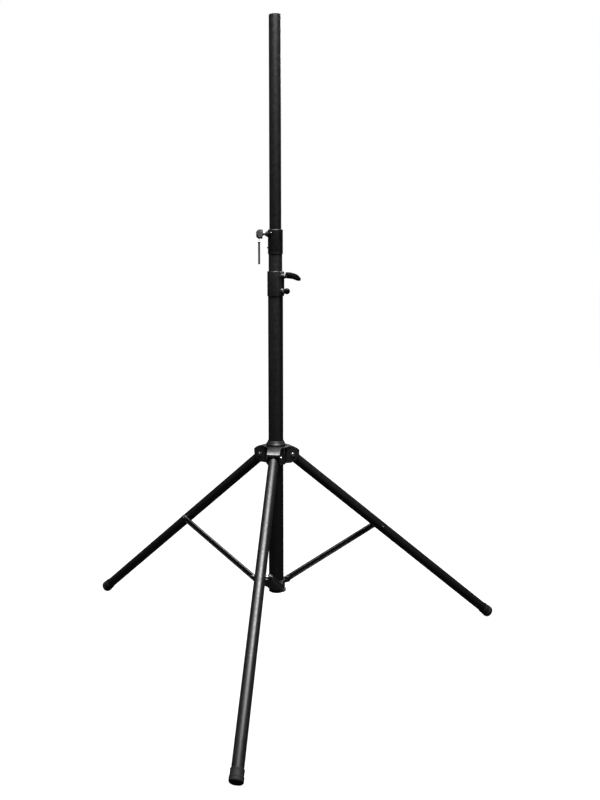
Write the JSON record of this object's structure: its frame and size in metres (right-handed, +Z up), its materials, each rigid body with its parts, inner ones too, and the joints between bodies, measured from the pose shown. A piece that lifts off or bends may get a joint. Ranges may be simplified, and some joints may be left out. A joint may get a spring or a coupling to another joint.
{
  "type": "speaker stand",
  "caption": "Folding tripod stand for a PA loudspeaker: telescopic black tube mast with clamp knobs, and braced legs on a sliding hub.",
  "frame": {"origin": "middle of the bounding box's base, on the floor; the mast's axis is 184.7 mm behind it", "axes": "+Z up along the mast, -Y towards the front leg, +X to the right seen from the front"},
  "size_m": [1.3198, 1.1478, 1.8726],
  "materials": {
    "black_coat": "satin, slightly textured black powder coat",
    "black_cast": "satin black paint on cast and moulded fittings",
    "black_plastic": "fine matt moulded black plastic",
    "rubber": "matt black rubber",
    "nylon": "dark grey nylon",
    "zinc": "bright zinc plate"
  },
  "bodies": {
    "stand": {"main_tube": "black_coat", "main_tube_plug": "black_plastic", "lower_collar": "black_cast", "pull_pin_barrel": "zinc", "lower_hub": "black_cast", "front_brace_foot_screw": "black_cast", "right_brace_foot_screw": "black_cast", "left_brace_foot_screw": "black_cast"},
    "hub": {"hub": "black_cast", "hub_glide": "nylon", "front_pivot_bolt": "zinc", "right_pivot_bolt": "zinc", "left_pivot_bolt": "zinc", "front_pivot_nut": "zinc", "right_pivot_nut": "zinc", "left_pivot_nut": "zinc"},
    "front_leg": {"front_leg_tube": "black_coat", "front_leg_plug": "black_plastic", "front_foot": "rubber", "front_brace_bolt": "zinc", "front_brace_spacer": "zinc"},
    "right_leg": {"right_leg_tube": "black_coat", "right_leg_plug": "black_plastic", "right_foot": "rubber", "right_brace_bolt": "zinc", "right_brace_spacer": "zinc"},
    "left_leg": {"left_leg_tube": "black_coat", "left_leg_plug": "black_plastic", "left_foot": "rubber", "left_brace_bolt": "zinc", "left_brace_spacer": "zinc"},
    "front_brace": {"front_brace": "black_coat", "front_brace_top_screw": "black_cast"},
    "right_brace": {"right_brace": "black_coat", "right_brace_top_screw": "black_cast"},
    "left_brace": {"left_brace": "black_coat", "left_brace_top_screw": "black_cast"},
    "middle": {"middle_tube": "black_coat", "middle_tube_glide": "nylon", "upper_collar": "black_cast", "collar_rivet": "zinc", "wire_eyelet": "zinc", "pin_wire": "zinc"},
    "top_glide": {"top_tube_glide": "nylon"},
    "top": {"top_tube": "black_coat", "top_cap": "black_plastic"},
    "upper_knob": {"upper_knob_handle": "black_plastic", "upper_knob_screw": "zinc"},
    "lower_lever": {"lower_lever_handle": "black_plastic", "lower_lever_screw": "zinc"},
    "hub_knob": {"hub_knob_handle": "black_plastic", "hub_knob_screw": "zinc"},
    "pull_pin": {"pull_pin_rod": "zinc", "pull_pin_knob": "black_plastic"},
    "safety_pin": {"safety_pin": "zinc"}
  },
  "joints": [
    {"name": "hub_slide", "type": "slide", "parent": "stand", "child": "hub", "axis": [0, 0, 1], "range_m": [0, 0.33749]},
    {"name": "front_leg_fold", "type": "hinge", "parent": "hub", "child": "front_leg", "pos_m": [0, 0.1387, 0.58666], "axis": [1, 0, 0], "range_deg": [0, 50.7]},
    {"name": "right_leg_fold", "type": "hinge", "parent": "hub", "child": "right_leg", "pos_m": [0.03984, 0.2077, 0.58666], "axis": [-0.5, 0.866, 0], "range_deg": [0, 50.7]},
    {"name": "left_leg_fold", "type": "hinge", "parent": "hub", "child": "left_leg", "pos_m": [-0.03984, 0.2077, 0.58666], "axis": [-0.5, -0.866, 0], "range_deg": [0, 50.7]},
    {"name": "front_brace_fold", "type": "hinge", "parent": "stand", "child": "front_brace", "pos_m": [0, 0.1387, 0.198], "axis": [-1, 0, 0], "range_deg": [0, 65.17]},
    {"name": "right_brace_fold", "type": "hinge", "parent": "stand", "child": "right_brace", "pos_m": [0.03984, 0.2077, 0.198], "axis": [0.5, -0.866, 0], "range_deg": [0, 65.17]},
    {"name": "left_brace_fold", "type": "hinge", "parent": "stand", "child": "left_brace", "pos_m": [-0.03984, 0.2077, 0.198], "axis": [0.5, 0.866, 0], "range_deg": [0, 65.17]},
    {"name": "middle_slide", "type": "slide", "parent": "stand", "child": "middle", "axis": [0, 0, 1], "range_m": [-0.0497, 0.68]},
    {"name": "top_slide", "type": "slide", "parent": "middle", "child": "top_glide", "axis": [0, 0, 1], "range_m": [-0.586, 0.15]},
    {"name": "top_swivel", "type": "hinge", "parent": "top_glide", "child": "top", "pos_m": [0, 0.1847, 0.9443], "axis": [0, 0, 1], "continuous": true},
    {"name": "upper_knob_turn", "type": "hinge", "parent": "middle", "child": "upper_knob", "pos_m": [-0.04764, 0.17885, 1.2403], "axis": [-0.9925, -0.1219, 0], "continuous": true},
    {"name": "lower_lever_turn", "type": "hinge", "parent": "stand", "child": "lower_lever", "pos_m": [0.05955, 0.14603, 1.1163], "axis": [0.8387, -0.5446, 0], "continuous": true},
    {"name": "hub_knob_turn", "type": "hinge", "parent": "hub", "child": "hub_knob", "pos_m": [0, 0.2347, 0.58666], "axis": [0, 1, 0], "continuous": true},
    {"name": "pull_pin_slide", "type": "slide", "parent": "stand", "child": "pull_pin", "axis": [0.8387, -0.5446, 0], "range_m": [0, 0.008], "stiffness_N_per_m": 500, "springref_m": -0.004},
    {"name": "safety_pin_swing", "type": "hinge", "parent": "middle", "child": "safety_pin", "pos_m": [-0.04205, 0.14165, 1.2162], "axis": [0.1219, -0.9925, 0], "range_deg": [-25, 30]}
  ],
  "couplings": [
    {"joint": "front_leg_fold", "follows": "hub_slide", "rad_per_m": 2.6206},
    {"joint": "right_leg_fold", "follows": "hub_slide", "rad_per_m": 2.6206},
    {"joint": "left_leg_fold", "follows": "hub_slide", "rad_per_m": 2.6206},
    {"joint": "front_brace_fold", "follows": "hub_slide", "rad_per_m": 3.3684},
    {"joint": "right_brace_fold", "follows": "hub_slide", "rad_per_m": 3.3684},
    {"joint": "left_brace_fold", "follows": "hub_slide", "rad_per_m": 3.3684}
  ]
}
